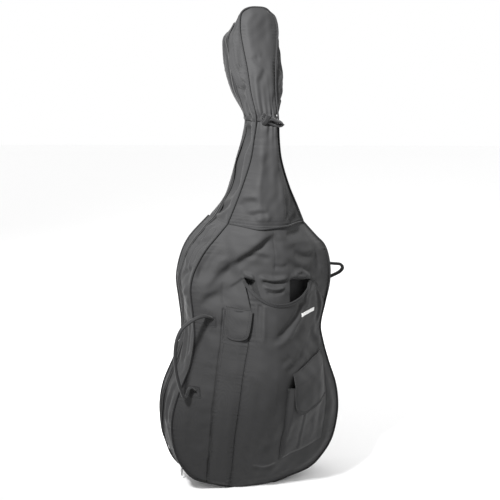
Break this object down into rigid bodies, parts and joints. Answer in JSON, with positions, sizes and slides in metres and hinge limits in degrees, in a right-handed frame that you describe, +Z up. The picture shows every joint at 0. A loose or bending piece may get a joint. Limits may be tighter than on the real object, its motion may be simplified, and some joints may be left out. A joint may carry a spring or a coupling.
{
  "type": "double bass in gig bag",
  "caption": "Double bass standing in its closed padded gig bag: hooded neck, front pockets with flaps, carrying handles, neck tie and the full instrument inside.",
  "frame": {"origin": "centre of the endpin hole in the flat patch of the base that the bag stands on", "axes": "+X to the right seen from the front, +Y towards the back, +Z up"},
  "size_m": [0.7618, 0.5195, 1.8891],
  "materials": {
    "nylon": "matte charcoal nylon weave",
    "webbing": "woven webbing",
    "binding": "folded tape binding",
    "coil": "black zip coil",
    "zip_metal": "black lacquered",
    "label": "plain pale woven label",
    "spruce": "varnished spruce",
    "maple": "varnished maple",
    "raw_wood": "bare",
    "ebony": "oiled ebony",
    "bridge_maple": "bare maple",
    "string_steel": "wound steel",
    "brass": "satin brass",
    "pin_steel": "plated steel",
    "tip_rubber": "black rubber"
  },
  "bodies": {
    "bagged_bass": {"front_panel": "nylon", "left_gusset": "nylon", "right_gusset": "nylon", "base_gusset": "nylon", "back_panel": "nylon", "neck_front_panel": "nylon", "neck_left_gusset": "nylon", "neck_right_gusset": "nylon", "neck_back_panel": "nylon", "front_piping": "binding", "back_piping": "binding", "yoke_piping": "binding", "zip_tape": "binding", "zip_coil": "coil", "music_pocket": "nylon", "mouth_binding": "binding", "bow_pocket": "nylon", "accessory_pocket": "nylon", "blank_label": "label", "handle_patches": "webbing", "neck_tie": "webbing", "tie_bow": "webbing", "top_plate": "spruce", "back_plate": "maple", "ribs": "maple", "bottom_block": "raw_wood", "top_block": "raw_wood", "bass_bar": "raw_wood", "sound_post": "raw_wood", "neck": "maple", "fingerboard": "ebony", "nut": "ebony", "bridge": "bridge_maple", "tailpiece": "ebony", "saddle": "ebony", "tail_wire": "string_steel", "string_e": "string_steel", "string_a": "string_steel", "string_d": "string_steel", "string_g": "string_steel", "machine_plates": "brass", "endpin_plug": "ebony"},
    "zip_slider": {"zip_slider": "zip_metal"},
    "zip_pull": {"zip_pull": "zip_metal"},
    "bow_flap": {"bow_flap": "nylon"},
    "accessory_flap": {"accessory_flap": "nylon"},
    "left_handle": {"left_handle": "webbing"},
    "right_handle": {"right_handle": "webbing"},
    "endpin": {"endpin_rod": "pin_steel", "endpin_tip": "tip_rubber"},
    "endpin_screw": {"endpin_screw": "pin_steel"},
    "roller_e": {"roller_e": "brass"},
    "key_e": {"key_e": "brass"},
    "roller_a": {"roller_a": "brass"},
    "key_a": {"key_a": "brass"},
    "roller_d": {"roller_d": "brass"},
    "key_d": {"key_d": "brass"},
    "roller_g": {"roller_g": "brass"},
    "key_g": {"key_g": "brass"}
  },
  "joints": [
    {"name": "zip_slide", "type": "slide", "parent": "bagged_bass", "child": "zip_slider", "axis": [-0.7958, 0, 0.6056], "range_m": [0, 0.03]},
    {"name": "zip_pull_swing", "type": "hinge", "parent": "zip_slider", "child": "zip_pull", "pos_m": [-0.25391, 0.0337, 0.05613], "axis": [0, 1, 0], "range_deg": [-20, 100]},
    {"name": "bow_flap_lift", "type": "hinge", "parent": "bagged_bass", "child": "bow_flap", "pos_m": [-0.13, -0.23617, 0.77], "axis": [-0.7988, 0.6016, 0], "range_deg": [0, 130]},
    {"name": "accessory_flap_lift", "type": "hinge", "parent": "bagged_bass", "child": "accessory_flap", "pos_m": [0.151, -0.28784, 0.552], "axis": [-0.743, -0.6558, -0.1339], "range_deg": [0, 140]},
    {"name": "left_handle_swing", "type": "hinge", "parent": "bagged_bass", "child": "left_handle", "pos_m": [-0.246, -0.15091, 0.5685], "axis": [0.1649, -0.0188, 0.9861], "range_deg": [0, 60]},
    {"name": "right_handle_swing", "type": "hinge", "parent": "bagged_bass", "child": "right_handle", "pos_m": [0.30149, 0, 0.848], "axis": [-0.0074, 0, -1], "range_deg": [-40, 40]},
    {"name": "endpin_slide", "type": "slide", "parent": "bagged_bass", "child": "endpin", "axis": [0, 0, -1], "range_m": [0, 0.28]},
    {"name": "endpin_screw_turn", "type": "hinge", "parent": "bagged_bass", "child": "endpin_screw", "pos_m": [0, 0.017, 0.031], "axis": [0, 1, 0], "continuous": true},
    {"name": "key_e_turn", "type": "hinge", "parent": "bagged_bass", "child": "key_e", "pos_m": [-0.0409, -0.01418, 1.60368], "axis": [0, 0.9397, -0.342], "continuous": true},
    {"name": "roller_e_turn", "type": "hinge", "parent": "bagged_bass", "child": "roller_e", "pos_m": [0, -0.02594, 1.58306], "axis": [1, 0, 0], "continuous": true},
    {"name": "key_a_turn", "type": "hinge", "parent": "bagged_bass", "child": "key_a", "pos_m": [-0.0409, 0.00908, 1.66758], "axis": [0, 0.9397, -0.342], "continuous": true},
    {"name": "roller_a_turn", "type": "hinge", "parent": "bagged_bass", "child": "roller_a", "pos_m": [0, -0.00268, 1.64696], "axis": [1, 0, 0], "continuous": true},
    {"name": "key_d_turn", "type": "hinge", "parent": "bagged_bass", "child": "key_d", "pos_m": [0.0409, 0.02071, 1.69953], "axis": [0, 0.9397, -0.342], "continuous": true},
    {"name": "roller_d_turn", "type": "hinge", "parent": "bagged_bass", "child": "roller_d", "pos_m": [0, 0.00895, 1.67891], "axis": [1, 0, 0], "continuous": true},
    {"name": "key_g_turn", "type": "hinge", "parent": "bagged_bass", "child": "key_g", "pos_m": [0.0409, -0.00255, 1.63563], "axis": [0, 0.9397, -0.342], "continuous": true},
    {"name": "roller_g_turn", "type": "hinge", "parent": "bagged_bass", "child": "roller_g", "pos_m": [0, -0.01431, 1.61501], "axis": [1, 0, 0], "continuous": true}
  ],
  "couplings": [
    {"joint": "roller_e_turn", "follows": "key_e_turn", "ratio": 0.05},
    {"joint": "roller_a_turn", "follows": "key_a_turn", "ratio": 0.05},
    {"joint": "roller_d_turn", "follows": "key_d_turn", "ratio": 0.05},
    {"joint": "roller_g_turn", "follows": "key_g_turn", "ratio": 0.05}
  ]
}
